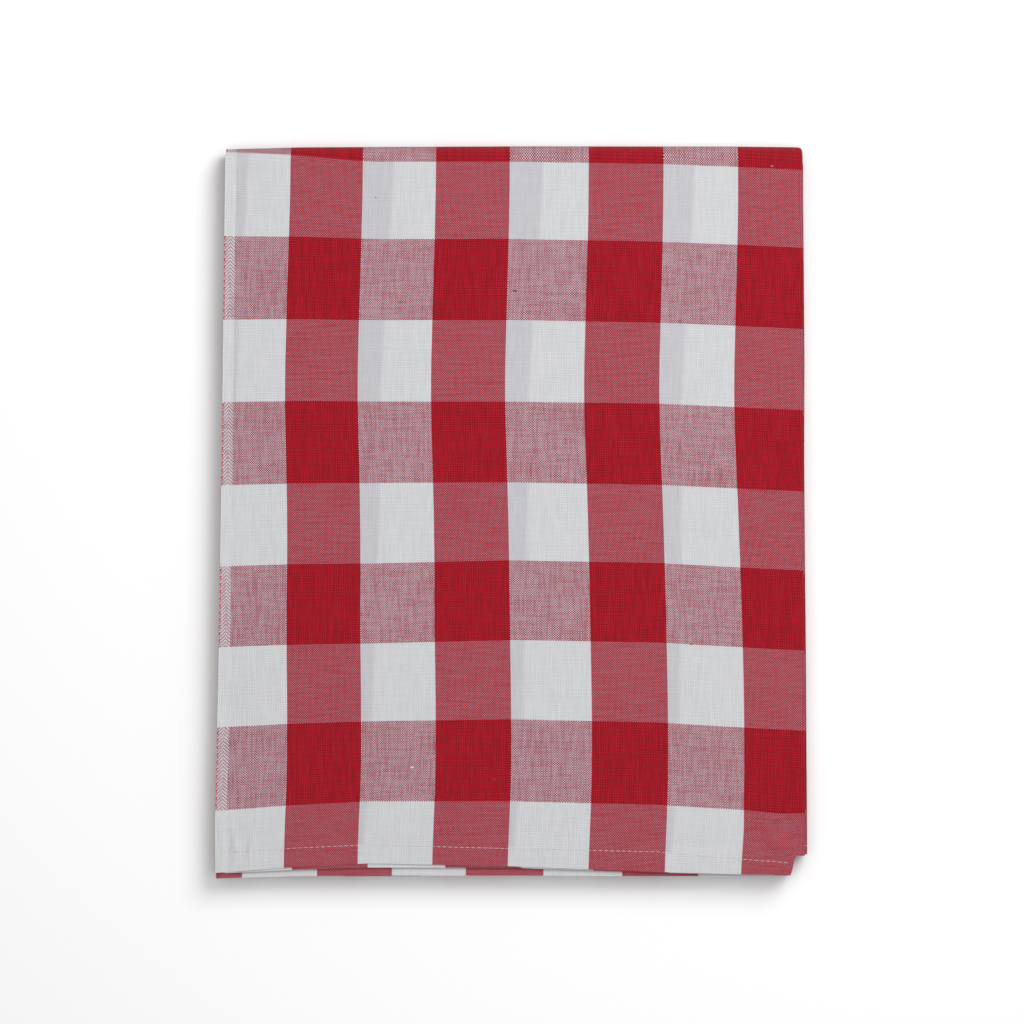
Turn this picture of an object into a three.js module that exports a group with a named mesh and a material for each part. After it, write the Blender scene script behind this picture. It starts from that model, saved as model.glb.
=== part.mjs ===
// Folded check tablecloth: one hemmed cotton sheet, folded in half twice across its
// width and then in half twice along its length, so sixteen layers lie flat on a table.
// Millimetres, +Z up, +Y towards the last fold, the four hem edges towards -Y.
import * as THREE from 'three';
import { mergeVertices } from 'three/addons/utils/BufferGeometryUtils.js';

const SHEET = 1.05;                       // cloth, measured over its pressed yarns
const SLACK = 0.3;                        // air between one layer and the next
const PITCH = SHEET + SLACK;
const LAYERS = 4;                         // layers made by each pair of folds
const BUNDLE = LAYERS * PITCH;            // four layers and the air above them
const STACK = LAYERS * BUNDLE - SLACK;    // the whole pile
const FOLDED_WIDTH = 357.4;
const FOLDED_LENGTH = 442.0;
const INNER_FOLD_SHORT = 5.0;             // inner side fold stops short of the outer one
const FREE_EDGE_SHORT = 5.5;              // hidden selvedge stops short of the top one
const OUTER_FOLD_DEPTH = 6.4;             // the pressed last fold, less deep than round
const INNER_FOLD_BACK = 2.4;              // its inner fold sits back from it
const CLOTH_RED = 0xb4303c;

// Where each layer of a twice-halved cloth lies, counted in pitches from the middle.
const LEVEL = { first: 1.5, second: 0.5, third: -0.5, fourth: -1.5 };

// Outline of the top bundle, from the hem end (at 0) to the last fold (at 1).
const LAY = [
  { at: 0.00, left: -178.5, right: 177.4 },
  { at: 0.08, left: -178.7, right: 177.4 },
  { at: 0.27, left: -176.8, right: 177.0 },
  { at: 0.57, left: -174.7, right: 176.2 },
  { at: 0.84, left: -173.4, right: 176.2 },
  { at: 1.00, left: -172.4, right: 175.9 },
];

// How far each bundle has slipped to the right of the top one, at its two ends.
const SLIP = {
  first: { hemEnd: 0, foldEnd: 0 },
  fourth: { hemEnd: 1.3, foldEnd: 0 },
  third: { hemEnd: 1.3, foldEnd: 0.9 },
  second: { hemEnd: 1.7, foldEnd: 0.9 },
};

// How straight the two ends lie, from the left side (at 0) to the right side (at 1).
const ENDS = [
  { at: 0.00, hemEnd: -221.4, foldEnd: 219.4 },
  { at: 0.13, hemEnd: -220.3, foldEnd: 220.6 },
  { at: 0.50, hemEnd: -220.0, foldEnd: 221.2 },
  { at: 0.87, hemEnd: -220.2, foldEnd: 221.1 },
  { at: 1.00, hemEnd: -219.6, foldEnd: 220.6 },
];

// How far each layer's hem stops short of the pile's hem end. The upper bundle holds
// one end of the cloth and the bundle under it holds the other end.
const UPPER_HEM = {
  first: { left: 3.6, leftMiddle: 8.2, middle: 6.3, rightMiddle: 3.0, right: 0.4 },
  second: { left: 3.0, leftMiddle: 5.6, middle: 5.3, rightMiddle: 2.4, right: 0.6 },
  third: { left: 0.0, leftMiddle: 0.6, middle: 0.4, rightMiddle: 0.2, right: 0.4 },
  fourth: { left: 0.0, leftMiddle: 0.2, middle: 0.5, rightMiddle: 0.4, right: 0.2 },
};
const LOWER_HEM = {
  first: { left: 2.4, leftMiddle: 3.6, middle: 2.6, rightMiddle: 3.2, right: 1.6 },
  second: { left: 4.2, leftMiddle: 2.2, middle: 3.8, rightMiddle: 2.0, right: 1.8 },
  third: { left: 1.2, leftMiddle: 2.0, middle: 1.4, rightMiddle: 2.6, right: 1.4 },
  fourth: { left: 1.0, leftMiddle: 1.8, middle: 2.8, rightMiddle: 1.8, right: 1.2 },
};
const HEM_PLACES = { left: 0, leftMiddle: 0.26, middle: 0.5, rightMiddle: 0.75, right: 1 };

// The corner by the hems where the stiff hems were pushed in at the side fold.
const TUCK = { from: 168.4, to: 171.6, push: 12.8, fade: 42 };

// The pile is a little lower along the free selvedges than over the folds.
const LOFT = { left: 0.965, right: 1.0, hemEnd: 0.985, foldEnd: 1.0 };

// Lines drawn on the cloth where it may lie unevenly, closer by the tucked corner.
const ACROSS_LINES = [-132, -86, 0, 89, 132, 168.6, 169.7, 170.8, 171.9];
const ALONG_LINES = [-205, -186, -102, 30, 150];
const ARC_STEPS = { side: 6, sideInner: 4, end: 8, endInner: 6 };

const smooth = (t) => t * t * (3 - 2 * t);
const clamp = (t) => Math.min(1, Math.max(0, t));
const mix = (a, b, t) => a + (b - a) * t;

// Value of one named column of a table at a given place, read between its rows.
function column(rows, name, at) {
  const next = Math.max(1, rows.findIndex((row) => row.at >= at));
  const a = rows[next - 1];
  const b = rows[next];
  return mix(a[name], b[name], clamp((at - a.at) / (b.at - a.at)));
}

// One straight run of a fold, with a station at each line between its two ends.
function run({ layer, near, far, height, lines, turned }) {
  const list = lines.filter((line) => line >= near && line < far - 0.2);
  const facing = turned ? -1 : 1;
  const places = list.map((at) => {
    const share = (at - near) / (far - near);
    return { layer, share, at, height, outAt: 0, outHeight: facing };
  });
  return turned ? places.reverse() : places;
}

// One rounded fold between two runs, drawn as part of an ellipse. facing is -1 where
// the face of the cloth is on the inside of the fold.
function bend({ layer, share, centre, height, depth, half, from, to, steps, facing }) {
  return Array.from({ length: steps + 1 }, (_, i) => {
    const angle = mix(from, to, i / steps);
    const across = half * Math.cos(angle);
    const up = depth * Math.sin(angle);
    const size = facing * Math.hypot(across, up);
    return {
      layer,
      share,
      turn: i / steps,
      at: centre + depth * Math.cos(angle),
      height: height + half * Math.sin(angle),
      outAt: across / size,
      outHeight: up / size,
    };
  });
}

// A cloth folded in half twice: over its far side, back along the bottom, round the
// near fold and up into the far side again, inside the first fold.
function foldTwice(near, far, pitch, shape) {
  const round = pitch / 2;
  const outer = 3 * round;
  const outerCentre = far - shape.clear - shape.outerDepth;
  const innerCentre = shape.innerFar - shape.clear - round;
  const nearCentre = near + shape.clear + round;
  const freeNear = near + shape.freeShort;
  const quarter = Math.PI / 2;
  const over = {
    layer: 'first',
    share: 1,
    centre: outerCentre,
    height: 0,
    depth: shape.outerDepth,
    half: outer,
    from: quarter,
    to: -quarter,
    steps: shape.steps,
    facing: 1,
  };
  const under = {
    layer: 'fourth',
    share: 0,
    centre: nearCentre,
    height: -pitch,
    depth: round,
    half: round,
    from: 3 * quarter,
    to: quarter,
    steps: shape.innerSteps,
    facing: 1,
  };
  const inside = {
    layer: 'third',
    share: 1,
    centre: innerCentre,
    height: 0,
    depth: round,
    half: round,
    from: -quarter,
    to: quarter,
    steps: shape.innerSteps,
    facing: -1,
  };
  const straight = (layer, start, far, lines, turned) => {
    return run({ layer, near: start, far, height: LEVEL[layer] * pitch, lines, turned });
  };
  return [
    ...straight('first', near, outerCentre, [near, ...shape.lines], false),
    ...bend(over),
    ...straight('fourth', nearCentre, outerCentre, shape.lines, true),
    ...bend(under),
    ...straight('third', nearCentre, innerCentre, shape.lines, false),
    ...bend(inside),
    ...straight('second', freeNear, innerCentre, [freeNear, ...shape.lines], true),
  ];
}

const halfWidth = FOLDED_WIDTH / 2;
const halfLength = FOLDED_LENGTH / 2;
const across = foldTwice(-halfWidth, halfWidth, PITCH, {
  clear: SHEET / 2,
  outerDepth: 1.5 * PITCH,
  innerFar: halfWidth - INNER_FOLD_SHORT,
  freeShort: FREE_EDGE_SHORT,
  lines: ACROSS_LINES,
  steps: ARC_STEPS.side,
  innerSteps: ARC_STEPS.sideInner,
});
const bundleHalf = (BUNDLE - SLACK) / 2;
const along = foldTwice(-halfLength, halfLength, BUNDLE, {
  clear: bundleHalf,
  outerDepth: OUTER_FOLD_DEPTH,
  innerFar: halfLength - BUNDLE - INNER_FOLD_BACK,
  freeShort: 0,
  lines: ALONG_LINES,
  steps: ARC_STEPS.end,
  innerSteps: ARC_STEPS.endInner,
});

// How far the hem of one bundle stops short at a station across the cloth.
function hemShort(hem, place) {
  const rows = Object.keys(HEM_PLACES).map((name) => {
    return { at: HEM_PLACES[name], short: hem[place.layer][name] };
  });
  return column(rows, 'short', clamp((place.at + halfWidth) / FOLDED_WIDTH));
}

// Lays the straight folded pile as unevenly as it rests on the table.
function lay(x, y, z, slip) {
  const s = clamp((x + halfWidth) / FOLDED_WIDTH);
  const t = clamp((y + halfLength) / FOLDED_LENGTH);
  const laidX = mix(column(LAY, 'left', t), column(LAY, 'right', t), s) + slip;
  const laidY = mix(column(ENDS, 'hemEnd', s), column(ENDS, 'foldEnd', s), t);
  const fade = clamp(1 - (laidY + halfLength) / TUCK.fade);
  const tuck = TUCK.push * smooth(clamp((laidX - TUCK.from) / (TUCK.to - TUCK.from)));
  const loft = mix(LOFT.left, LOFT.right, smooth(clamp(2 * s))) * mix(LOFT.hemEnd, LOFT.foldEnd, t);
  return [laidX, laidY + tuck * fade * fade, z * loft];
}

// Folds one point of the flat sheet: across the width first, then along the length.
function fold(acrossPlace, alongPlace, side) {
  const x = acrossPlace.at + acrossPlace.outAt * side;
  const lift = acrossPlace.height + acrossPlace.outHeight * side;
  let short = 0;
  if (alongPlace.turn === undefined && alongPlace.layer === 'first') {
    short = hemShort(UPPER_HEM, acrossPlace) * (1 - alongPlace.share);
  }
  if (alongPlace.turn === undefined && alongPlace.layer === 'second') {
    short = hemShort(LOWER_HEM, acrossPlace) * (1 - alongPlace.share);
  }
  const y = alongPlace.at + alongPlace.outAt * lift + short;
  const z = alongPlace.height + alongPlace.outHeight * lift;
  const slip = mix(SLIP[alongPlace.layer].hemEnd, SLIP[alongPlace.layer].foldEnd, alongPlace.share);
  return lay(x, y, z + STACK / 2, slip);
}

// The flat sheet, one grid line for each station, folded point by point.
function foldedCloth() {
  const sheet = new THREE.BoxGeometry(1, 1, 1, across.length - 1, along.length - 1, 1);
  const points = sheet.getAttribute('position');
  for (let i = 0; i < points.count; i += 1) {
    const acrossPlace = across[Math.round((points.getX(i) + 0.5) * (across.length - 1))];
    const alongPlace = along[Math.round((points.getY(i) + 0.5) * (along.length - 1))];
    points.setXYZ(i, ...fold(acrossPlace, alongPlace, points.getZ(i) * SHEET));
  }
  sheet.deleteAttribute('uv');
  sheet.deleteAttribute('normal');
  const cloth = mergeVertices(sheet, 1e-4);
  cloth.computeBoundingBox();
  const middle = cloth.boundingBox.getCenter(new THREE.Vector3());
  cloth.translate(-middle.x, -middle.y, -cloth.boundingBox.min.z);
  cloth.computeVertexNormals();
  return cloth;
}

const tablecloth = new THREE.Mesh(
  foldedCloth(),
  new THREE.MeshStandardMaterial({ color: CLOTH_RED, roughness: 0.9, metalness: 0 }),
);
tablecloth.name = 'tablecloth';

const part = new THREE.Group();
part.name = 'folded_tablecloth';
part.add(tablecloth);

export default part;
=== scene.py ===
import math

import bpy
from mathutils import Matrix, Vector


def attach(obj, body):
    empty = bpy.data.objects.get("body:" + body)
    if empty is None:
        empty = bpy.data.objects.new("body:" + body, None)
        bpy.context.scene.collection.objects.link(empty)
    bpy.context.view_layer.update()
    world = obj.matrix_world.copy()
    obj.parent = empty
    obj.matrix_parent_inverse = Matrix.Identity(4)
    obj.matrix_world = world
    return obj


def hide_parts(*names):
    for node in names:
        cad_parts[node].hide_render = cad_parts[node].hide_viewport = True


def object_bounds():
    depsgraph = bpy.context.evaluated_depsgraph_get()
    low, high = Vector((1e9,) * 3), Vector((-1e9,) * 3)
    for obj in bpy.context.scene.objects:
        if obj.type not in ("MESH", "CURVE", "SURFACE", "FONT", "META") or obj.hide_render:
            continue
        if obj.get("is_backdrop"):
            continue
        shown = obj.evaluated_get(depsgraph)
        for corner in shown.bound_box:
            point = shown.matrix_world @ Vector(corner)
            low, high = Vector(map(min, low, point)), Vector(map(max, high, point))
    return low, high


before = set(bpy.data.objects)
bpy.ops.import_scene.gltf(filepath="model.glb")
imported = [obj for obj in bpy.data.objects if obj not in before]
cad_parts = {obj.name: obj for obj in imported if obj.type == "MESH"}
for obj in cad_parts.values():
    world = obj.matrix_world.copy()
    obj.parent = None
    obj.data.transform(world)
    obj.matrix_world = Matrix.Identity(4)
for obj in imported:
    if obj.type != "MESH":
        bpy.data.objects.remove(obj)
cad_low, cad_high = (Vector(corner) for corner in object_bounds())
bpy.ops.object.select_all(action="DESELECT")

# The cloth: one piece of plain-woven cotton in a red and white yarn-dyed check, with woven
# selvedges at its sides and a narrow hem turned under at each end. It is folded in half twice
# across its width, then in half twice along its length, and lies flat. Sizes are in millimetres.
MM = 0.001
LAYERS = 4
SLACK = 0.3
FOLDED_WIDTH = 357.4
FOLDED_LENGTH = 442.0
layer_pitch = ((cad_high.z - cad_low.z) / MM + SLACK) / (LAYERS * LAYERS)
room = layer_pitch - SLACK
bundle_pitch = LAYERS * layer_pitch
bundle_half = (bundle_pitch - SLACK) / 2
half_width = FOLDED_WIDTH / 2
half_length = FOLDED_LENGTH / 2

CLOTH_THICK = 0.5
HEM_THICK = 1.1
HEM_DEEP = 11.0
SELVEDGE = 7.2

# Levels of the layers of a twice-halved cloth, in pitches from the middle of its pile.
LEVELS = {"first": 1.5, "second": 0.5, "third": -0.5, "fourth": -1.5}

# Outline of the top bundle and slip of each bundle, from the hem end (0) to the last fold (1).
LAY = [
    {"at": 0.00, "left": -178.5, "right": 177.4},
    {"at": 0.08, "left": -178.7, "right": 177.4},
    {"at": 0.27, "left": -176.8, "right": 177.0},
    {"at": 0.57, "left": -174.7, "right": 176.2},
    {"at": 0.84, "left": -173.4, "right": 176.2},
    {"at": 1.00, "left": -172.4, "right": 175.9},
]
SLIP = {
    "first": {"hem_end": 0.0, "fold_end": 0.0},
    "fourth": {"hem_end": 1.3, "fold_end": 0.0},
    "third": {"hem_end": 1.3, "fold_end": 0.9},
    "second": {"hem_end": 1.7, "fold_end": 0.9},
}

# Both ends of the pile from its left side (0) to its right (1), the tucked corner, and how full
# the pile stands at each side and end.
ENDS = [
    {"at": 0.00, "hem_end": -221.4, "fold_end": 219.4},
    {"at": 0.13, "hem_end": -220.3, "fold_end": 220.6},
    {"at": 0.50, "hem_end": -220.0, "fold_end": 221.2},
    {"at": 0.87, "hem_end": -220.2, "fold_end": 221.1},
    {"at": 1.00, "hem_end": -219.6, "fold_end": 220.6},
]
TUCK = {"from": 168.4, "to": 171.6, "push": 12.8, "fade": 42.0}
LOFT = {"left": 0.965, "right": 1.0, "hem_end": 0.985, "fold_end": 1.0}

# How far each layer's hem stops short of the pile's hem end, from its left side to its right.
PLACES = {"left": 0.0, "left_middle": 0.26, "middle": 0.5, "right_middle": 0.75, "right": 1.0}
UPPER_HEM = {
    "first": {"left": 3.6, "left_middle": 8.2, "middle": 6.3, "right_middle": 3.0, "right": 0.4},
    "second": {"left": 3.0, "left_middle": 5.6, "middle": 5.3, "right_middle": 2.4, "right": 0.6},
    "third": {"left": 0.0, "left_middle": 0.6, "middle": 0.4, "right_middle": 0.2, "right": 0.4},
    "fourth": {"left": 0.0, "left_middle": 0.2, "middle": 0.5, "right_middle": 0.4, "right": 0.2},
}
LOWER_HEM = {
    "first": {"left": 2.4, "left_middle": 3.6, "middle": 2.6, "right_middle": 3.2, "right": 1.6},
    "second": {"left": 4.2, "left_middle": 2.2, "middle": 3.8, "right_middle": 2.0, "right": 1.8},
    "third": {"left": 1.2, "left_middle": 2.0, "middle": 1.4, "right_middle": 2.6, "right": 1.4},
    "fourth": {"left": 1.0, "left_middle": 1.8, "middle": 2.8, "right_middle": 1.8, "right": 1.2},
}

# How far the woven lines stray as the cloth lies: warp lines to the right, weft lines up. The
# columns are woven a little unevenly as well.
WARP_STRAY = [
    {"at": 0.00, "left": 0.6, "right": 1.0},
    {"at": 0.10, "left": 2.7, "right": 3.4},
    {"at": 0.21, "left": 2.0, "right": 3.6},
    {"at": 0.32, "left": 0.4, "right": 2.9},
    {"at": 0.43, "left": 0.7, "right": 1.2},
    {"at": 0.54, "left": -0.2, "right": -0.6},
    {"at": 0.65, "left": -2.2, "right": -2.8},
    {"at": 0.76, "left": -1.5, "right": -1.6},
    {"at": 0.93, "left": 0.0, "right": 0.3},
    {"at": 1.00, "left": 0.0, "right": 0.0},
]
WEFT_STRAY = [
    {"at": 0.00, "left": 0.0, "left_middle": 0.0, "middle": 0.0, "right_middle": 0.0, "right": 0.0},
    {"at": 0.10, "left": -1.6, "left_middle": -0.8, "middle": 1.2, "right_middle": 2.4, "right": -1.2},
    {"at": 0.21, "left": 0.6, "left_middle": -0.9, "middle": 1.6, "right_middle": 2.3, "right": -0.8},
    {"at": 0.32, "left": 0.0, "left_middle": -2.3, "middle": 1.2, "right_middle": 2.2, "right": -1.2},
    {"at": 0.43, "left": -0.3, "left_middle": -2.6, "middle": 0.3, "right_middle": 0.6, "right": -2.8},
    {"at": 0.54, "left": 0.2, "left_middle": -1.6, "middle": -1.0, "right_middle": -1.0, "right": -3.7},
    {"at": 0.65, "left": 1.3, "left_middle": -1.4, "middle": -1.3, "right_middle": -1.1, "right": -4.2},
    {"at": 0.76, "left": 2.6, "left_middle": 0.1, "middle": 0.3, "right_middle": -0.6, "right": -3.4},
    {"at": 0.87, "left": 4.0, "left_middle": 0.5, "middle": 0.3, "right_middle": -0.9, "right": -4.1},
    {"at": 1.00, "left": 4.7, "left_middle": -1.6, "middle": -2.0, "right_middle": -3.5, "right": -6.6},
]
UNEVEN_COLUMNS = [
    {"at": 0.00, "stray": 0.0},
    {"at": 0.12, "stray": -0.7},
    {"at": 0.25, "stray": -1.3},
    {"at": 0.37, "stray": -2.2},
    {"at": 0.50, "stray": -2.6},
    {"at": 0.63, "stray": 0.2},
    {"at": 0.88, "stray": 0.3},
    {"at": 1.00, "stray": 0.0},
]

# Pucker beside the tucked corner: its place on the folded pile, its width and its pull.
PUCKER = {"x": 163.0, "y": -197.0, "wide": 15.0, "pull": 3.2}

# Soft creases of the top layer: the middle, direction, length, width and height of each.
CREASES = [
    {"x": -174.5, "y": -207.0, "turn": 86, "long": 36.0, "wide": 3.0, "high": 0.55},
    {"x": -171.0, "y": -210.0, "turn": 82, "long": 34.0, "wide": 3.0, "high": -0.60},
    {"x": -166.5, "y": -206.0, "turn": 101, "long": 36.0, "wide": 3.2, "high": 0.95},
    {"x": -162.5, "y": -211.0, "turn": 74, "long": 24.0, "wide": 3.4, "high": -0.60},
    {"x": -157.5, "y": -208.0, "turn": 80, "long": 30.0, "wide": 3.6, "high": 0.80},
    {"x": 161.0, "y": -199.0, "turn": 128, "long": 28.0, "wide": 4.6, "high": 1.15},
    {"x": 155.5, "y": -205.0, "turn": 122, "long": 26.0, "wide": 4.6, "high": -0.60},
    {"x": 168.0, "y": -194.0, "turn": 80, "long": 30.0, "wide": 4.6, "high": -0.60},
    {"x": 152.0, "y": -196.0, "turn": 150, "long": 34.0, "wide": 5.0, "high": 0.50},
    {"x": 118.0, "y": -204.0, "turn": 4, "long": 64.0, "wide": 7.0, "high": -0.45},
    {"x": -95.0, "y": 40.0, "turn": 12, "long": 150.0, "wide": 26.0, "high": 0.20},
    {"x": 70.0, "y": -60.0, "turn": 166, "long": 170.0, "wide": 30.0, "high": -0.20},
]

# The creases fade over this distance, and stop this far short of the last fold.
CREASE_FADE = 12.0
CREASE_STOP = 10.0

# Where the hidden layers begin to sink, and the waves in which they lie.
SETTLE = {"past_width": 345.0, "width_ease": 30.0, "past_length": 905.0, "length_ease": 20.0}
LONG_WAVE = {"high": 0.6, "across": 18.0, "along": 27.0, "across_start": 1.3, "along_start": 0.4}
SHORT_WAVE = {"high": 0.4, "across": 10.7, "along": 37.0}

# Mesh lines: the least gap before a bend, the step that eases a woven line, and how many fewer
# steps a tight bend has than the wide one.
LEAST_GAP = 0.2
EASE_STEP = 0.025
FEWER_STEPS = 4


def mix(a, b, share):
    return a + (b - a) * share


def clamp(value):
    return min(1.0, max(0.0, value))


def smooth(value):
    value = clamp(value)
    return value * value * (3 - 2 * value)


def column(rows, name, at):
    """Value of one column of a table at a place, read between its rows."""
    at = clamp(at)
    for low, high in zip(rows, rows[1:]):
        if at <= high["at"]:
            return mix(low[name], high[name], (at - low["at"]) / (high["at"] - low["at"]))
    return rows[-1][name]


def soft_column(rows, name, at):
    """As column, but eased over a short stretch, so that the woven lines bend softly."""
    return sum(column(rows, name, at + step * EASE_STEP) for step in (-2, -1, 0, 1, 2)) / 5


def side_column(values, at):
    """Value at a place from left (0) to right (1), read between the five named places."""
    return column([{"at": PLACES[name], "value": values[name]} for name in PLACES], "value", at)


def straight_run(layer, near, far, height, lines, turned):
    """One straight run of a fold, with a station at each line between its ends."""
    facing = -1 if turned else 1
    stations = [
        {
            "layer": layer,
            "bent": False,
            "share": (at - near) / (far - near),
            "at": at,
            "height": height,
            "out_at": 0.0,
            "out_height": facing,
        }
        for at in lines
        if near <= at < far - LEAST_GAP
    ]
    return stations[::-1] if turned else stations


def bent_run(layer, share, centre, height, depth, half, start, end, steps, facing):
    """One rounded fold, part of an ellipse; facing is -1 where the cloth's face is inside."""
    stations = []
    for step in range(steps + 1):
        angle = mix(start, end, step / steps)
        out_at = half * math.cos(angle)
        out_height = depth * math.sin(angle)
        size = facing * math.hypot(out_at, out_height)
        stations.append(
            {
                "layer": layer,
                "bent": True,
                "share": share,
                "at": centre + depth * math.cos(angle),
                "height": height + half * math.sin(angle),
                "out_at": out_at / size,
                "out_height": out_height / size,
            }
        )
    return stations


def fold_twice(near, far, pitch, clear, depth, inner_far, free_near, lines, under_lines, steps, gather):
    """Stations of a cloth folded in half twice, each with its distance along the flat cloth."""
    quarter = math.pi / 2
    round_half = pitch / 2
    outer_centre = far - clear - depth
    inner_centre = inner_far - clear - round_half
    near_centre = near + clear + round_half
    level = {name: LEVELS[name] * pitch for name in LEVELS}
    few = steps - FEWER_STEPS
    free_lines = [free_near] + under_lines
    runs = [
        straight_run("first", near, outer_centre, level["first"], [near] + lines, False),
        bent_run("first", 1, outer_centre, 0, depth, 3 * round_half, quarter, -quarter, steps, 1),
        straight_run("fourth", near_centre, outer_centre, level["fourth"], under_lines, True),
        bent_run("fourth", 0, near_centre, -pitch, round_half, round_half, 3 * quarter, quarter, few, 1),
        straight_run("third", near_centre, inner_centre, level["third"], under_lines, False),
        bent_run("third", 1, inner_centre, 0, round_half, round_half, -quarter, quarter, few, -1),
        straight_run("second", free_near, inner_centre, level["second"], free_lines, True),
    ]
    reach = {
        "first": lambda at: at - near,
        "fourth": lambda at: (far - near) + (far - at),
        "third": lambda at: 2 * (far - near) + (at - near),
        "second": lambda at: 2 * (far - near) + (inner_far - near) + (inner_far - at),
    }
    bend_ends = {
        "first": (reach["first"](outer_centre), reach["fourth"](outer_centre)),
        "fourth": (reach["fourth"](near_centre), reach["third"](near_centre)),
        "third": (reach["third"](inner_centre), reach["second"](inner_centre)),
    }
    stations = []
    for run in runs:
        for step, station in enumerate(run):
            if station["bent"]:
                start, end = bend_ends[station["layer"]]
                flat = mix(start, end, step / (len(run) - 1))
            else:
                flat = reach[station["layer"]](station["at"])
            top = reach["first"](outer_centre)
            station["flat"] = flat if flat < top else top + (flat - top) * gather
            stations.append(station)
    return stations


def lay(x, y, z, slip):
    """Lays the straight folded pile as unevenly as it rests."""
    s = clamp((x + half_width) / FOLDED_WIDTH)
    t = clamp((y + half_length) / FOLDED_LENGTH)
    laid_x = mix(column(LAY, "left", t), column(LAY, "right", t), s) + slip
    laid_y = mix(column(ENDS, "hem_end", s), column(ENDS, "fold_end", s), t)
    fade = clamp(1 - (laid_y + half_length) / TUCK["fade"])
    tuck = TUCK["push"] * smooth((laid_x - TUCK["from"]) / (TUCK["to"] - TUCK["from"]))
    loft = mix(LOFT["left"], LOFT["right"], smooth(2 * s)) * mix(LOFT["hem_end"], LOFT["fold_end"], t)
    return Vector((laid_x, laid_y + tuck * fade * fade, z * loft))


def settle(u, v):
    """How far a layer has sunk from the face of its room. The two outer faces stay flat."""
    hidden_across = smooth((u - SETTLE["past_width"]) / SETTLE["width_ease"])
    hidden_along = smooth((v - SETTLE["past_length"]) / SETTLE["length_ease"])
    across_wave = math.sin(u / LONG_WAVE["across"] + LONG_WAVE["across_start"])
    along_wave = math.sin(v / LONG_WAVE["along"] + LONG_WAVE["along_start"])
    wave = LONG_WAVE["high"] * across_wave * along_wave
    wave += SHORT_WAVE["high"] * math.sin(u / SHORT_WAVE["across"] + v / SHORT_WAVE["along"])
    return (room - CLOTH_THICK) / 2 * (1 + wave) * max(hidden_across, hidden_along)


def crease(x, y):
    """Height of the soft creases at a place on the top layer."""
    height = 0.0
    for row in CREASES:
        turn = math.radians(row["turn"])
        dx = x - row["x"]
        dy = y - row["y"]
        along_it = (dx * math.cos(turn) + dy * math.sin(turn)) / (row["long"] / 2)
        across_it = (dy * math.cos(turn) - dx * math.sin(turn)) / (row["wide"] / 2)
        height += row["high"] * math.exp(-along_it * along_it - across_it * across_it)
    return height


def fold(across_place, along_place, raised):
    """A point of the cloth's face after both folds; raised lifts it off the face."""
    u = across_place["flat"]
    v = along_place["flat"]
    side = room / 2 + raised - settle(u, v)
    if u < FOLDED_WIDTH and v < FOLDED_LENGTH:
        side_fade = smooth((FOLDED_WIDTH - u) / CREASE_FADE)
        end_fade = smooth((FOLDED_LENGTH - CREASE_STOP - v) / CREASE_FADE)
        side += crease(across_place["at"], along_place["at"]) * (side_fade * end_fade)
    x = across_place["at"] + across_place["out_at"] * side
    lift = across_place["height"] + across_place["out_height"] * side
    short = 0.0
    if not along_place["bent"] and along_place["layer"] in ("first", "second"):
        hem = UPPER_HEM if along_place["layer"] == "first" else LOWER_HEM
        place = (across_place["at"] + half_width) / FOLDED_WIDTH
        short = side_column(hem[across_place["layer"]], place) * (1 - along_place["share"])
    y = along_place["at"] + along_place["out_at"] * lift + short
    z = along_place["height"] + along_place["out_height"] * lift
    slip = SLIP[along_place["layer"]]
    stack = LAYERS * bundle_pitch - SLACK
    return lay(x, y, z + stack / 2, mix(slip["hem_end"], slip["fold_end"], along_place["share"]))


def lines_between(zone):
    """Mesh lines spread evenly over a zone, about one step apart."""
    count = round((zone["to"] - zone["from"]) / zone["step"])
    return [mix(zone["from"], zone["to"], index / count) for index in range(count + 1)]


TUCK_LINES = [167.4, 168.6, 169.7, 170.8, 171.9, 173.2]
HEM_LINES = [-220.6, -218.0, -215.8, -213.4, -211.2, -210.3, -210.0, -209.7, -208.8, -206.4, -204.2]
UNDER_ACROSS = [-172.0, -160.0, -132.0, -86.0, -40.0, 0.0, 45.0, 89.0, 132.0, 160.0]
UNDER_ALONG = [-202.0, -186.0, -150.0, -102.0, -36.0, 30.0, 90.0, 150.0, 190.0]
ACROSS_ZONES = [
    {"from": -177.4, "to": -148.0, "step": 1.4},
    {"from": -144.0, "to": 146.0, "step": 4.6},
    {"from": 148.0, "to": 166.0, "step": 1.8},
]
ALONG_ZONE = {"from": -202.0, "to": 211.0, "step": 4.6}

# How far the inner folds and the free selvedge stop short of the outer ones, and how deep the
# last fold is rounded.
INNER_SHORT = 5.0
FREE_SHORT = 5.5
LAST_FOLD_DEEP = 6.4
INNER_BUNDLE_SHORT = 2.4

# Past the top layer the cloth lies slightly gathered: its flat length over its folded length.
LENGTH_GATHER = 1.0387
across = fold_twice(
    -half_width,
    half_width,
    layer_pitch,
    clear=room / 2,
    depth=1.5 * layer_pitch,
    inner_far=half_width - INNER_SHORT,
    free_near=-half_width + FREE_SHORT,
    lines=[line for zone in ACROSS_ZONES for line in lines_between(zone)] + TUCK_LINES,
    under_lines=UNDER_ACROSS + TUCK_LINES,
    steps=12,
    gather=1.0,
)
along = fold_twice(
    -half_length,
    half_length,
    bundle_pitch,
    clear=bundle_half,
    depth=LAST_FOLD_DEEP,
    inner_far=half_length - bundle_pitch - INNER_BUNDLE_SHORT,
    free_near=-half_length,
    lines=HEM_LINES + lines_between(ALONG_ZONE),
    under_lines=HEM_LINES + UNDER_ALONG,
    steps=14,
    gather=LENGTH_GATHER,
)
STRAY_FADE = 30.0
HEM_STEP_BEFORE = 0.5
HEM_STEP_OVER = 0.6
SMOOTH_ANGLE = 50
flat_width = across[-1]["flat"]
flat_length = along[-1]["flat"]

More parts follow.
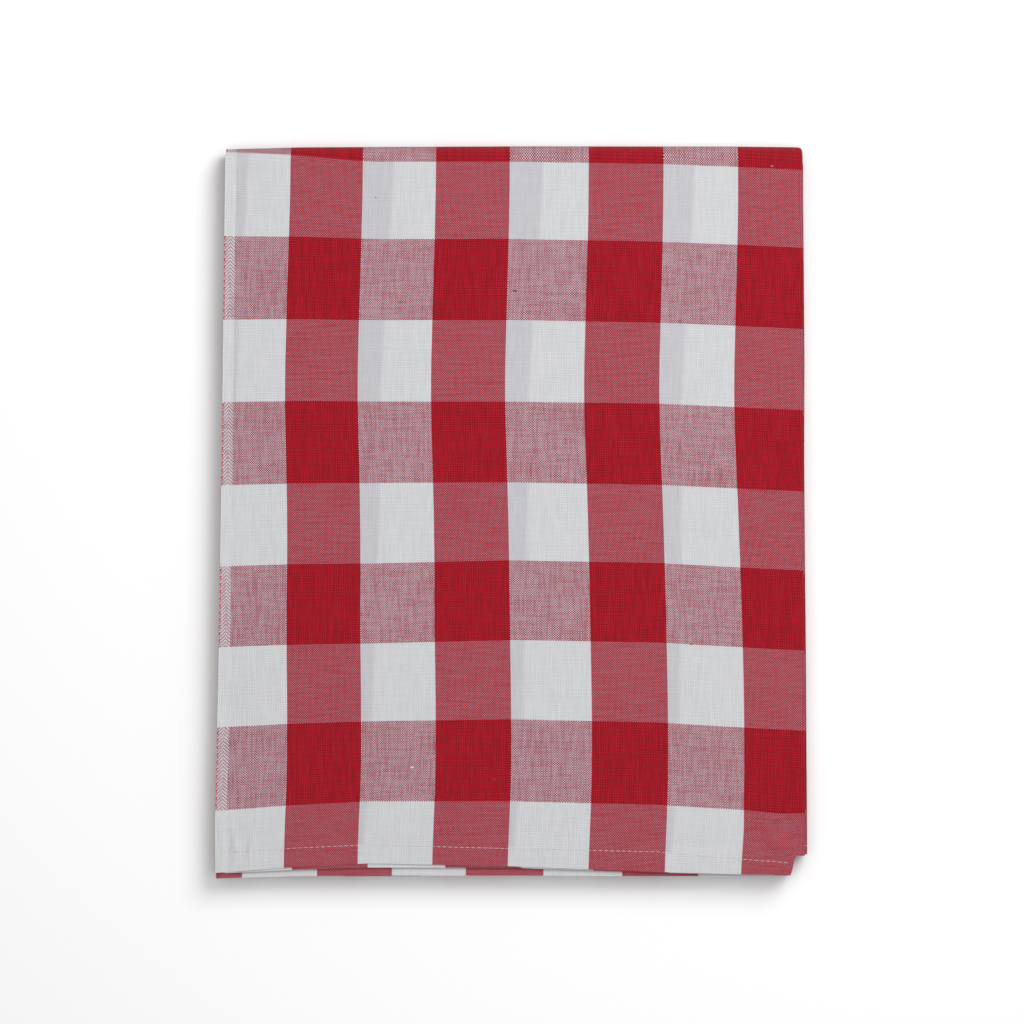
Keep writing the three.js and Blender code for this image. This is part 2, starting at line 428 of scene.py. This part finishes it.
bpy.ops.mesh.primitive_grid_add(x_subdivisions=len(across) - 1, y_subdivisions=len(along) - 1, size=2)
cloth = bpy.context.active_object
cloth.name = "folded_cloth"
cloth.data.name = "folded_cloth"
thickness = cloth.vertex_groups.new(name="thickness")
flat_places = []
for vertex in cloth.data.vertices:
    across_place = across[round((vertex.co.x + 1) / 2 * (len(across) - 1))]
    along_place = along[round((vertex.co.y + 1) / 2 * (len(along) - 1))]
    vertex.co = fold(across_place, along_place, 0.0) * MM
    s = clamp((across_place["at"] + half_width) / FOLDED_WIDTH)
    t = clamp((along_place["at"] + half_length) / FOLDED_LENGTH)
    warp_stray = mix(soft_column(WARP_STRAY, "left", t), soft_column(WARP_STRAY, "right", t), s)
    warp_stray += column(UNEVEN_COLUMNS, "stray", s)
    weft_stray = side_column({name: soft_column(WEFT_STRAY, name, t) for name in PLACES}, s)
    u = across_place["flat"] - warp_stray * smooth(across_place["flat"] / STRAY_FADE)
    v = along_place["flat"] - weft_stray * smooth(along_place["flat"] / STRAY_FADE)
    if along_place["flat"] < half_length and across_place["flat"] < FOLDED_WIDTH:
        dx = (across_place["at"] - PUCKER["x"]) / PUCKER["wide"]
        dy = (along_place["at"] - PUCKER["y"]) / PUCKER["wide"]
        pull = PUCKER["pull"] * math.exp(-dx * dx - dy * dy)
        u += pull * dx
        v += pull * dy
    flat_places.append((u * MM, v * MM))
    from_hem = min(along_place["flat"], flat_length - along_place["flat"])
    past_hem = smooth((from_hem - HEM_DEEP + HEM_STEP_BEFORE) / HEM_STEP_OVER)
    share = mix(HEM_THICK, CLOTH_THICK, past_hem) / HEM_THICK
    thickness.add([vertex.index], share, "REPLACE")

lows = [min(vertex.co[axis] for vertex in cloth.data.vertices) for axis in range(3)]
highs = [max(vertex.co[axis] for vertex in cloth.data.vertices) for axis in range(3)]
shift = Vector(
    (
        (cad_low.x + cad_high.x - lows[0] - highs[0]) / 2,
        (cad_low.y + cad_high.y - lows[1] - highs[1]) / 2,
        cad_low.z - lows[2],
    )
)
for vertex in cloth.data.vertices:
    vertex.co += shift

# The flat map gives each point its place on the cut cloth, in metres, with the strayed lines.
flat_map = cloth.data.uv_layers[0]
flat_map.name = "flat"
for loop in cloth.data.loops:
    flat_map.data[loop.index].uv = flat_places[loop.vertex_index]

bpy.context.view_layer.objects.active = cloth
wall = cloth.modifiers.new("wall", "SOLIDIFY")
wall.thickness = HEM_THICK * MM
wall.offset = -1
wall.vertex_group = thickness.name
bpy.ops.object.modifier_apply(modifier=wall.name)
bpy.ops.object.shade_smooth_by_angle(angle=math.radians(SMOOTH_ANGLE))

cotton = bpy.data.materials.new("check_cotton")
cotton.use_nodes = True
cotton_tree = cotton.node_tree
finish = cotton_tree.nodes["Principled BSDF"]


def wire(value, socket):
    """Sets a socket of the cotton to a plain value, or links another node's output to it."""
    if isinstance(value, bpy.types.NodeSocket):
        cotton_tree.links.new(value, socket)
    else:
        socket.default_value = value


def sums(operation, *values):
    """A Math node of the cotton."""
    node = cotton_tree.nodes.new("ShaderNodeMath")
    node.operation = operation
    for value, socket in zip(values, node.inputs):
        wire(value, socket)
    return node.outputs[0]


def ramp(value, start, end, low=0.0, high=1.0):
    """Runs smoothly from low to high as value goes from start to end."""
    node = cotton_tree.nodes.new("ShaderNodeMapRange")
    node.interpolation_type = "SMOOTHSTEP"
    for number, socket in zip((value, start, end, low, high), node.inputs):
        wire(number, socket)
    return node.outputs[0]


# Places of the colour sockets on a Mix node.
FIRST_COLOUR = 6
SECOND_COLOUR = 7
MIXED_COLOUR = 2


def dye(share, first, second, blend="MIX"):
    """Mixes two colours."""
    node = cotton_tree.nodes.new("ShaderNodeMix")
    node.data_type = "RGBA"
    node.blend_type = blend
    wire(share, node.inputs[0])
    wire(first, node.inputs[FIRST_COLOUR])
    wire(second, node.inputs[SECOND_COLOUR])
    return node.outputs[MIXED_COLOUR]


def uneven(x, y, scale, detail=2.0):
    """Noise over a pair of coordinates, about 0.5 on average."""
    pair = cotton_tree.nodes.new("ShaderNodeCombineXYZ")
    wire(x, pair.inputs[0])
    wire(y, pair.inputs[1])
    node = cotton_tree.nodes.new("ShaderNodeTexNoise")
    node.noise_dimensions = "2D"
    wire(pair.outputs[0], node.inputs["Vector"])
    node.inputs["Scale"].default_value = scale
    node.inputs["Detail"].default_value = detail
    return node.outputs[0]


YARN = 0.00072
FIRST_COLUMN = 0.0408
COLUMN = 0.04595
FIRST_ROW = 0.0392
ROW = 0.0493
WHITE = (0.514, 0.517, 0.527, 1.0)
RED = (0.378, 0.0094, 0.0204, 1.0)
# Painted shade: white yarns beside red ones are painted darker and redder, standing in for the shade and
# red bounce light their red neighbours throw on them.
WHITE_WARP_PAINTED_SHADE_BY_RED = (0.437, 0.412, 0.471, 1.0)
WHITE_WEFT_PAINTED_SHADE_BY_RED = (0.350, 0.258, 0.318, 1.0)
# Painted shade in the gaps between the yarns, darker than the yarns on either side.
GAP_SHADE_IN_WHITE = (0.421, 0.423, 0.438, 1.0)
GAP_SHADE_IN_RED = (0.157, 0.0030, 0.0070, 1.0)
GAP_SHADE_IN_MIXED = (0.150, 0.0085, 0.0145, 1.0)
# Painted show-through: the darker, lilac tint painted on white squares where red lies beneath.
PAINTED_SHOW_THROUGH = (0.875, 0.855, 0.885, 1.0)

flat_place = cotton_tree.nodes.new("ShaderNodeUVMap")
flat_place.uv_map = "flat"
split = cotton_tree.nodes.new("ShaderNodeSeparateXYZ")
cotton_tree.links.new(flat_place.outputs[0], split.inputs[0])
u, v = split.outputs[0], split.outputs[1]

warp_count = sums("DIVIDE", u, YARN)
weft_count = sums("DIVIDE", v, YARN)
warp_end = sums("FLOOR", warp_count)
weft_pick = sums("FLOOR", weft_count)
across_warp = sums("ABSOLUTE", sums("SUBTRACT", sums("FRACT", warp_count), 0.5))
across_weft = sums("ABSOLUTE", sums("SUBTRACT", sums("FRACT", weft_count), 0.5))


def red_yarn(place, first, width):
    """1 where a yarn lies in a red stripe, 0 where it lies in a white one."""
    stripe = sums("FLOOR", sums("DIVIDE", sums("SUBTRACT", place, first), width))
    return sums("SUBTRACT", 1.0, sums("FLOORED_MODULO", stripe, 2.0))


warp_red = red_yarn(sums("MULTIPLY", sums("ADD", warp_end, 0.5), YARN), FIRST_COLUMN, COLUMN)
weft_red = red_yarn(sums("MULTIPLY", sums("ADD", weft_pick, 0.5), YARN), FIRST_ROW, ROW)

# Plain weave: warp and weft lie on top in turn, and thin warp ends let more of the weft show.
# The selvedge is a narrow herringbone with more of its white warp on top.
RIB_END = 5.0
RIB_SHOW = 0.8
RIB_REPEAT = 3.0
# Share by which the selvedge's white warp loses its painted shade and red bounce light.
RIB_UNSHADED_SHARE = 0.45
RIB_TIGHT = 0.5
RIB_EASE = 0.6
STREAK = {"warp_across": 1.31, "warp_along": 60.0, "weft_across": 1.37, "weft_along": 50.0}
STREAK_LOW = 0.3
STREAK_HIGH = 0.7
WARP_HALF = 0.39
WARP_THINNED = -0.17
WEFT_HALF = 0.31
WEFT_WIDENED = 0.11
YARN_EDGE = 0.05
WEFT_SEEN = {"none": 0.36, "full": 0.27}
warp_streak = uneven(
    sums("MULTIPLY", warp_end, STREAK["warp_across"]), sums("MULTIPLY", v, STREAK["warp_along"]), 1.0
)
weft_streak = uneven(
    sums("MULTIPLY", weft_pick, STREAK["weft_across"]), sums("MULTIPLY", u, STREAK["weft_along"]), 1.0
)
edge_distance = sums("MINIMUM", u, sums("SUBTRACT", flat_width * MM, u))
selvedge = ramp(edge_distance, SELVEDGE * MM, (SELVEDGE - RIB_EASE) * MM)
plain_over = sums("FLOORED_MODULO", sums("ADD", warp_end, weft_pick), 2.0)
from_rib = sums("ABSOLUTE", sums("SUBTRACT", warp_end, RIB_END))
slant = sums("FLOORED_MODULO", sums("ADD", from_rib, weft_pick), RIB_REPEAT)
slant_over = sums("MULTIPLY", sums("LESS_THAN", slant, 1.0), RIB_SHOW)
to_slant = sums("MULTIPLY", selvedge, sums("SUBTRACT", slant_over, plain_over))
weft_over = sums("ADD", plain_over, to_slant)
warp_over = sums("SUBTRACT", 1.0, weft_over)
warp_thin = ramp(warp_streak, STREAK_LOW, STREAK_HIGH)
weft_thin = ramp(weft_streak, STREAK_LOW, STREAK_HIGH)
thin_warp = sums("SUBTRACT", warp_thin, weft_thin)
thin_warp = sums("SUBTRACT", thin_warp, sums("MULTIPLY", selvedge, RIB_TIGHT))
warp_half = sums("MULTIPLY_ADD", thin_warp, WARP_THINNED, WARP_HALF)
weft_half = sums("MULTIPLY_ADD", thin_warp, WEFT_WIDENED, WEFT_HALF)
past_warp = sums("SUBTRACT", across_warp, warp_half)
past_weft = sums("SUBTRACT", across_warp, weft_half)
warp_shown = sums("MULTIPLY", warp_over, ramp(past_warp, YARN_EDGE, -YARN_EDGE))
weft_shown = sums("MULTIPLY", weft_over, ramp(past_weft, YARN_EDGE, -YARN_EDGE))
weft_shown = sums("MULTIPLY", weft_shown, ramp(across_weft, WEFT_SEEN["none"], WEFT_SEEN["full"]))

# White yarns beside red ones carry painted shade and red bounce light; in the selvedge the white warp's
# is partly eased back to plain white.
white_warp_painted_shade = dye(sums("MULTIPLY", selvedge, RIB_UNSHADED_SHARE), WHITE_WARP_PAINTED_SHADE_BY_RED, WHITE)
warp_colour = dye(warp_red, dye(weft_red, WHITE, white_warp_painted_shade), RED)
weft_colour = dye(weft_red, dye(warp_red, WHITE, WHITE_WEFT_PAINTED_SHADE_BY_RED), RED)
# Where neither yarn shows, the gap gets its painted shade.
gap_shade_colour = dye(
    warp_red, dye(weft_red, GAP_SHADE_IN_WHITE, GAP_SHADE_IN_MIXED), dye(weft_red, GAP_SHADE_IN_MIXED, GAP_SHADE_IN_RED)
)
colour = dye(weft_shown, dye(warp_shown, gap_shade_colour, warp_colour), weft_colour)

# At the very edge of a selvedge the weft turns back in small loops, every other pick.
LOOP_END = {"none": 0.0011, "full": 0.0007}
edge_loop = sums("FLOORED_MODULO", weft_pick, 2.0)
edge_loop = sums("MULTIPLY", edge_loop, ramp(edge_distance, LOOP_END["none"], LOOP_END["full"]))
colour = dye(edge_loop, colour, weft_colour)

# Painted show-through: the white squares on top are painted darker and lilac where the red columns of
# the layer underneath would show faintly through the cloth.
UNDER_SHIFT = 0.0030
UNDER_SLANT = 0.038
UNDER_EDGE = {"white": 1.04, "red": 0.96}
TOP_FACE = {"last_u": 0.350, "full_u": 0.340, "last_v": 0.440, "full_v": 0.436}
HEM_FADE = 1.5
under_u = sums("SUBTRACT", sums("SUBTRACT", u, UNDER_SHIFT), sums("MULTIPLY", v, UNDER_SLANT))
under_stripe = sums("DIVIDE", sums("SUBTRACT", under_u, FIRST_COLUMN), COLUMN)
under_red = ramp(sums("FLOORED_MODULO", under_stripe, 2.0), UNDER_EDGE["white"], UNDER_EDGE["red"])
all_white = sums("MULTIPLY", sums("SUBTRACT", 1.0, warp_red), sums("SUBTRACT", 1.0, weft_red))
top_across = ramp(u, TOP_FACE["last_u"], TOP_FACE["full_u"])
top_along = ramp(v, TOP_FACE["last_v"], TOP_FACE["full_v"])
on_top = sums("MULTIPLY", top_across, top_along)
on_top = sums("MULTIPLY", on_top, ramp(v, HEM_DEEP * MM, (HEM_DEEP + HEM_FADE) * MM))
on_top = sums("MULTIPLY", on_top, sums("SUBTRACT", 1.0, selvedge))
painted_show_through = sums("MULTIPLY", sums("MULTIPLY", under_red, all_white), on_top)
colour = dye(painted_show_through, colour, dye(1.0, colour, PAINTED_SHOW_THROUGH, "MULTIPLY"))

# A few specks and slubs caught in the yarn: place on the flat cloth, size and colour of each.
SPECKS = [
    {"u": 0.0947, "v": 0.4106, "long": 0.0006, "wide": 0.0006, "colour": (0.20, 0.20, 0.21, 1.0)},
    {"u": 0.1180, "v": 0.0598, "long": 0.0012, "wide": 0.0005, "colour": (0.58, 0.56, 0.57, 1.0)},
    {"u": 0.2544, "v": 0.0957, "long": 0.0014, "wide": 0.0006, "colour": (0.40, 0.02, 0.04, 1.0)},
    {"u": 0.1684, "v": 0.0522, "long": 0.0012, "wide": 0.0005, "colour": (0.36, 0.02, 0.03, 1.0)},
    {"u": 0.3380, "v": 0.4350, "long": 0.0010, "wide": 0.0005, "colour": (0.45, 0.10, 0.14, 1.0)},
    {"u": 0.1832, "v": 0.3524, "long": 0.0012, "wide": 0.0005, "colour": (0.12, 0.01, 0.01, 1.0)},
    {"u": 0.2855, "v": 0.1377, "long": 0.0010, "wide": 0.0005, "colour": (0.14, 0.01, 0.02, 1.0)},
]
SPECK_END = {"none": 1.4, "full": 0.4}
for speck in SPECKS:
    speck_u = sums("DIVIDE", sums("SUBTRACT", u, speck["u"]), speck["long"])
    speck_v = sums("DIVIDE", sums("SUBTRACT", v, speck["v"]), speck["wide"])
    away = sums("ADD", sums("MULTIPLY", speck_u, speck_u), sums("MULTIPLY", speck_v, speck_v))
    colour = dye(ramp(away, SPECK_END["none"], SPECK_END["full"]), colour, speck["colour"])

# Yarns differ a little in tone, and lie in pairs with a darker line between.
TONE_DEPTH = {"added_in_red": 0.25, "in_white": 0.16}
TONE_LEVEL = 1.07
PAIR_DEPTH = {"added_in_red": 0.12, "in_white": 0.07}
all_red = sums("MINIMUM", warp_red, weft_red)
tone_depth = sums("MULTIPLY_ADD", all_red, TONE_DEPTH["added_in_red"], TONE_DEPTH["in_white"])
yarn_tone = sums("SUBTRACT", 1.0, sums("ADD", warp_streak, weft_streak))
yarn_tone = sums("MULTIPLY_ADD", yarn_tone, tone_depth, TONE_LEVEL)
odd_warp = sums("FLOORED_MODULO", warp_end, 2.0)
odd_weft = sums("FLOORED_MODULO", weft_pick, 2.0)
pair_line = sums("ADD", odd_warp, odd_weft)
pair_depth = sums("MULTIPLY_ADD", all_red, PAIR_DEPTH["added_in_red"], PAIR_DEPTH["in_white"])
yarn_tone = sums("SUBTRACT", yarn_tone, sums("MULTIPLY", pair_line, pair_depth))
grey_tone = cotton_tree.nodes.new("ShaderNodeCombineColor")
for socket in grey_tone.inputs[:3]:
    wire(yarn_tone, socket)
colour = dye(1.0, colour, grey_tone.outputs[0], "MULTIPLY")

# The yarns stand a little proud of the gaps between them, each with a rounded back.
warp_dome = sums("SUBTRACT", 1.0, sums("MULTIPLY", sums("MULTIPLY", across_warp, across_warp), 4.0))
weft_dome = sums("SUBTRACT", 1.0, sums("MULTIPLY", sums("MULTIPLY", across_weft, across_weft), 4.0))
warp_height = sums("MULTIPLY", warp_dome, warp_shown)
weft_height = sums("MULTIPLY", weft_dome, weft_shown)
weave_height = sums("ADD", warp_height, weft_height)
weave = cotton_tree.nodes.new("ShaderNodeBump")
weave.inputs["Strength"].default_value = 0.25
weave.inputs["Distance"].default_value = 0.00012
cotton_tree.links.new(weave_height, weave.inputs["Height"])

cotton_tree.links.new(colour, finish.inputs["Base Color"])
cotton_tree.links.new(weave.outputs[0], finish.inputs["Normal"])
finish.inputs["Roughness"].default_value = 0.92
finish.inputs["Specular IOR Level"].default_value = 0.12
finish.inputs["Sheen Weight"].default_value = 0.04
finish.inputs["Sheen Roughness"].default_value = 0.5
cloth.data.materials.clear()
cloth.data.materials.append(cotton)

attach(cloth, "root")
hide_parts("tablecloth")

# The hem stitching: one row of white cotton thread along the top of each turned hem, sewn
# through the cloth. Each stitch is a short arched dash whose ends sink into the weave. None
# show where the top corner is tucked in.
STITCH_PITCH = 3.5
STITCH_LONG = 2.9
STITCH_WIDE = 0.38
STITCH_HIGH = 0.34
STITCH_DIP = 0.16
STITCH_RAISED = 0.06
SELVEDGE_GAP = 4.0
SIDE_STEP = 0.5
SEWN_DEEP = {"left": 12.0, "left_middle": 11.4, "middle": 10.8, "right_middle": 12.2, "right": 6.8}
TUCKED = {"from": 347.5, "to": 384.0}


def station_at(stations, flat):
    """A station at any distance along the flat cloth, read between its neighbours."""
    for low, high in zip(stations, stations[1:]):
        if flat <= high["flat"]:
            share = (flat - low["flat"]) / (high["flat"] - low["flat"])
            place = dict(low if share < 0.5 else high)
            for name in ("at", "height", "out_at", "out_height", "flat"):
                place[name] = mix(low[name], high[name], share)
            return place
    return dict(stations[-1])


bpy.ops.object.select_all(action="DESELECT")
bpy.ops.mesh.primitive_uv_sphere_add(segments=8, ring_count=5, radius=0.5)
stitch = bpy.context.active_object
stitch_points = [vertex.co.copy() for vertex in stitch.data.vertices]
stitch_faces = [tuple(face.vertices) for face in stitch.data.polygons]
bpy.ops.object.delete()

points = []
faces = []
for upper in (True, False):
    count = int((flat_width - 2 * SELVEDGE_GAP) / STITCH_PITCH)
    for index in range(count):
        middle = SELVEDGE_GAP + (index + 0.5) * STITCH_PITCH
        if upper and TUCKED["from"] < middle < TUCKED["to"]:
            continue
        deep = side_column(SEWN_DEEP, middle / FOLDED_WIDTH) if middle < FOLDED_WIDTH else HEM_DEEP
        sewn = deep if upper else flat_length - deep
        hem_line = station_at(along, sewn)
        hem_above = station_at(along, sewn + SIDE_STEP)
        start = fold(station_at(across, middle - STITCH_LONG / 2), hem_line, 0.0)
        end = fold(station_at(across, middle + STITCH_LONG / 2), hem_line, 0.0)
        centre = fold(station_at(across, middle), hem_line, STITCH_RAISED)
        above = fold(station_at(across, middle), hem_above, STITCH_RAISED)
        run = (end - start).normalized()
        up = run.cross(above - centre).normalized()
        beside = up.cross(run)
        first = len(points)
        for point in stitch_points:
            spot = centre + run * point.x * STITCH_LONG + beside * point.y * STITCH_WIDE
            rise = point.z * STITCH_HIGH - STITCH_DIP * (2 * point.x) ** 2
            points.append((spot + up * rise) * MM + shift)
        faces += [tuple(first + corner for corner in face) for face in stitch_faces]

stitching_mesh = bpy.data.meshes.new("hem_stitching")
stitching_mesh.from_pydata(points, [], faces)
stitching = bpy.data.objects.new("hem_stitching", stitching_mesh)
bpy.context.collection.objects.link(stitching)
bpy.ops.object.select_all(action="DESELECT")
stitching.select_set(True)
bpy.context.view_layer.objects.active = stitching
bpy.ops.object.shade_smooth()

thread = bpy.data.materials.new("white_thread")
thread.use_nodes = True
thread_tree = thread.node_tree
thread_finish = thread_tree.nodes["Principled BSDF"]
twist_place = thread_tree.nodes.new("ShaderNodeTexCoord")
twist = thread_tree.nodes.new("ShaderNodeTexNoise")
twist.inputs["Scale"].default_value = 900.0
twist_tone = thread_tree.nodes.new("ShaderNodeMix")
twist_tone.data_type = "RGBA"
twist_tone.inputs[FIRST_COLOUR].default_value = (0.40, 0.36, 0.37, 1.0)
twist_tone.inputs[SECOND_COLOUR].default_value = (0.54, 0.50, 0.51, 1.0)
thread_tree.links.new(twist_place.outputs["Object"], twist.inputs["Vector"])
thread_tree.links.new(twist.outputs[0], twist_tone.inputs[0])
thread_tree.links.new(twist_tone.outputs[MIXED_COLOUR], thread_finish.inputs["Base Color"])
thread_finish.inputs["Roughness"].default_value = 0.8
stitching.data.materials.append(thread)

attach(stitching, "root")

# The floor and the light: a plain pale studio floor, a broad soft lamp overhead, one at the
# upper right and a little even light, so the shadow is deepest to the left and below.
bpy.ops.object.select_all(action="DESELECT")
FLOOR_WIDE = 8.0
FLOOR_BELOW = 0.0002
bpy.ops.mesh.primitive_plane_add(size=FLOOR_WIDE, location=(0, 0, 0))
floor = bpy.context.active_object
floor.name = "floor"
for vertex in floor.data.vertices:
    vertex.co.z = -FLOOR_BELOW
paper = bpy.data.materials.new("pale_floor")
paper.use_nodes = True
paper_finish = paper.node_tree.nodes["Principled BSDF"]
paper_finish.inputs["Base Color"].default_value = (0.80, 0.80, 0.80, 1.0)
paper_finish.inputs["Roughness"].default_value = 0.9
paper_finish.inputs["Specular IOR Level"].default_value = 0.1
floor.data.materials.append(paper)
floor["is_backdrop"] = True

scene = bpy.context.scene
scene.view_settings.view_transform = "Standard"
surround = bpy.data.worlds.new("surround")
surround.use_nodes = True
surround.node_tree.nodes["Background"].inputs["Color"].default_value = (1.0, 1.0, 1.0, 1.0)
surround.node_tree.nodes["Background"].inputs["Strength"].default_value = 0.26
scene.world = surround

LAMPS = [
    {"name": "overhead_lamp", "x": 0.0, "y": 0.0, "z": 1.75, "wide": 1.9, "watts": 22.6},
    {"name": "side_lamp", "x": 0.88, "y": 1.10, "z": 1.75, "wide": 1.3, "watts": 34.2},
]
for row in LAMPS:
    bpy.ops.object.light_add(type="AREA", location=(row["x"], row["y"], row["z"]))
    lamp = bpy.context.active_object
    lamp.name = row["name"]
    lamp.data.shape = "DISK"
    lamp.data.size = row["wide"]
    lamp.data.energy = row["watts"]
    lamp.rotation_euler = (-lamp.location).to_track_quat("-Z", "Y").to_euler()

# The camera looks straight down on the middle of the cloth from high above.
MM_A_PIXEL = 0.603
FRAME_PIXELS = 1024
CAMERA_HIGH = 3.0
CAMERA_ASIDE = 0.0003
camera_place = (CAMERA_ASIDE, 0.0, CAMERA_HIGH + cad_high.z)
bpy.ops.object.camera_add(location=camera_place, rotation=(0, 0, 0))
camera = bpy.context.active_object
camera.name = "camera"
camera.data.sensor_width = 36.0
camera.data.lens = camera.data.sensor_width * CAMERA_HIGH / (MM_A_PIXEL * FRAME_PIXELS * MM)
camera.data.clip_end = 20.0
scene.camera = camera
